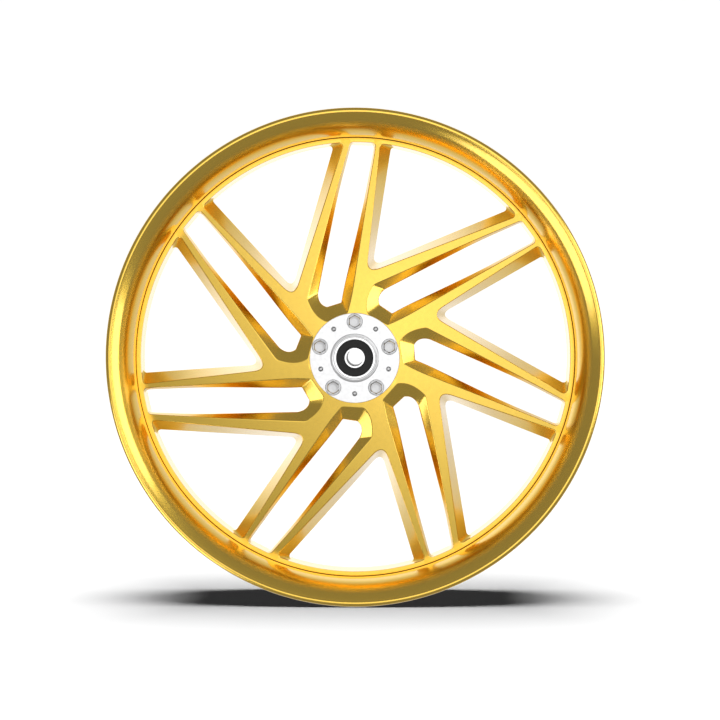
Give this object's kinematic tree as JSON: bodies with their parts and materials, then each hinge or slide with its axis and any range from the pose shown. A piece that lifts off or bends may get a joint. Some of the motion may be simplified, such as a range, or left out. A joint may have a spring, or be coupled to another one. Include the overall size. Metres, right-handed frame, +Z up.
{
  "type": "motorcycle wheel",
  "caption": "Forged custom motorcycle front wheel with forked swirl arms, bolted hub halves and sealed ball bearings on an axle sleeve.",
  "frame": {"origin": "wheel centre, on the axle line in the middle plane", "axes": "+Y along the axle away from the show face, +Z up, +X to the right seen from the show face"},
  "size_m": [0.568, 0.1322, 0.568],
  "materials": {
    "gold_alloy": "gloss gold anodised, lightly brushed",
    "hub_silver": "fine turned, satin",
    "bolt_steel": "zinc plated, satin",
    "bearing_steel": "ground and polished",
    "cage_brass": "pressed",
    "seal_rubber": "matte moulded"
  },
  "bodies": {
    "axle_set": {"axle_sleeve": "bearing_steel", "front_bearing_inner_race": "bearing_steel", "rear_bearing_inner_race": "bearing_steel"},
    "wheel": {"rim_hoop": "gold_alloy", "spoke_centre": "gold_alloy", "front_hub_half": "hub_silver", "front_hub_bolt_1": "bolt_steel", "front_hub_bolt_2": "bolt_steel", "front_hub_bolt_3": "bolt_steel", "front_hub_bolt_4": "bolt_steel", "front_hub_bolt_5": "bolt_steel", "front_bearing_outer_race": "bearing_steel", "front_bearing_outside_seal": "seal_rubber", "front_bearing_inside_seal": "seal_rubber", "rear_hub_half": "hub_silver", "rear_hub_bolt_1": "bolt_steel", "rear_hub_bolt_2": "bolt_steel", "rear_hub_bolt_3": "bolt_steel", "rear_hub_bolt_4": "bolt_steel", "rear_hub_bolt_5": "bolt_steel", "rear_bearing_outer_race": "bearing_steel", "rear_bearing_outside_seal": "seal_rubber", "rear_bearing_inside_seal": "seal_rubber"},
    "front_ball_set": {"front_bearing_cage": "cage_brass", "front_bearing_ball_1": "bearing_steel", "front_bearing_ball_2": "bearing_steel", "front_bearing_ball_3": "bearing_steel", "front_bearing_ball_4": "bearing_steel", "front_bearing_ball_5": "bearing_steel", "front_bearing_ball_6": "bearing_steel", "front_bearing_ball_7": "bearing_steel", "front_bearing_ball_8": "bearing_steel"},
    "rear_ball_set": {"rear_bearing_cage": "cage_brass", "rear_bearing_ball_1": "bearing_steel", "rear_bearing_ball_2": "bearing_steel", "rear_bearing_ball_3": "bearing_steel", "rear_bearing_ball_4": "bearing_steel", "rear_bearing_ball_5": "bearing_steel", "rear_bearing_ball_6": "bearing_steel", "rear_bearing_ball_7": "bearing_steel", "rear_bearing_ball_8": "bearing_steel"}
  },
  "joints": [
    {"name": "wheel_spin", "type": "hinge", "parent": "axle_set", "child": "wheel", "pos_m": [0, 0, 0], "axis": [0, 1, 0], "continuous": true},
    {"name": "front_cage_spin", "type": "hinge", "parent": "axle_set", "child": "front_ball_set", "pos_m": [0, -0.0515, 0], "axis": [0, 1, 0], "continuous": true},
    {"name": "rear_cage_spin", "type": "hinge", "parent": "axle_set", "child": "rear_ball_set", "pos_m": [0, 0.0515, 0], "axis": [0, 1, 0], "continuous": true}
  ],
  "couplings": [
    {"joint": "front_cage_spin", "follows": "wheel_spin", "ratio": 0.6196},
    {"joint": "rear_cage_spin", "follows": "wheel_spin", "ratio": 0.6196}
  ]
}
